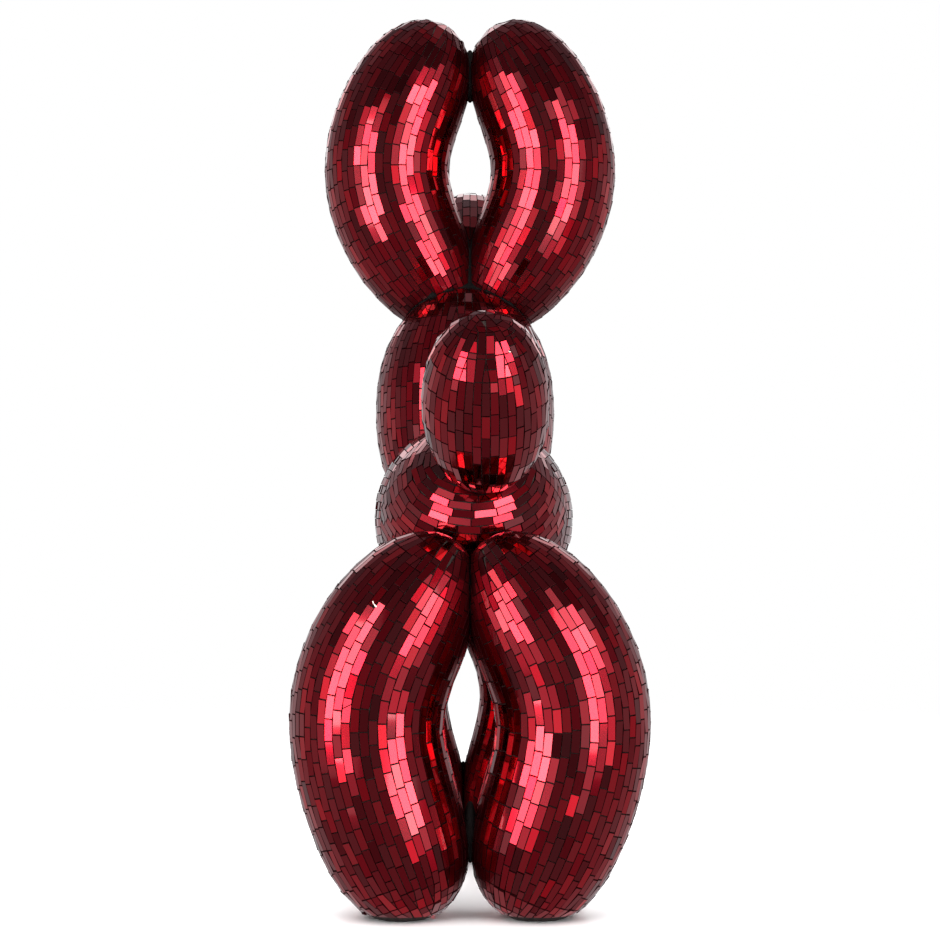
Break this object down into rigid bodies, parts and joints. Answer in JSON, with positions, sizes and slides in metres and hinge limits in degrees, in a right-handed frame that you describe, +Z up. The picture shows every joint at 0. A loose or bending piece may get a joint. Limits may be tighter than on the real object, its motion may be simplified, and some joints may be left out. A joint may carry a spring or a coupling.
{
  "type": "balloon poodle sculpture",
  "caption": "Standing balloon poodle figure, cast in one piece and covered with a mosaic of small red mirror-glass tiles in dark grout",
  "frame": {"origin": "on the floor, under the middle of the whole figure's box", "axes": "+Z up, +Y towards the snout, -Y towards the tail, X across the width"},
  "size_m": [0.1878, 0.36, 0.5062],
  "materials": {
    "red_mirror_tile": "small flat red mirror-glass tiles, polished",
    "dark_grout": "dark brown-grey cement grout, matt"
  },
  "bodies": {
    "root": {"poodle_body": "red_mirror_tile"}
  },
  "joints": []
}
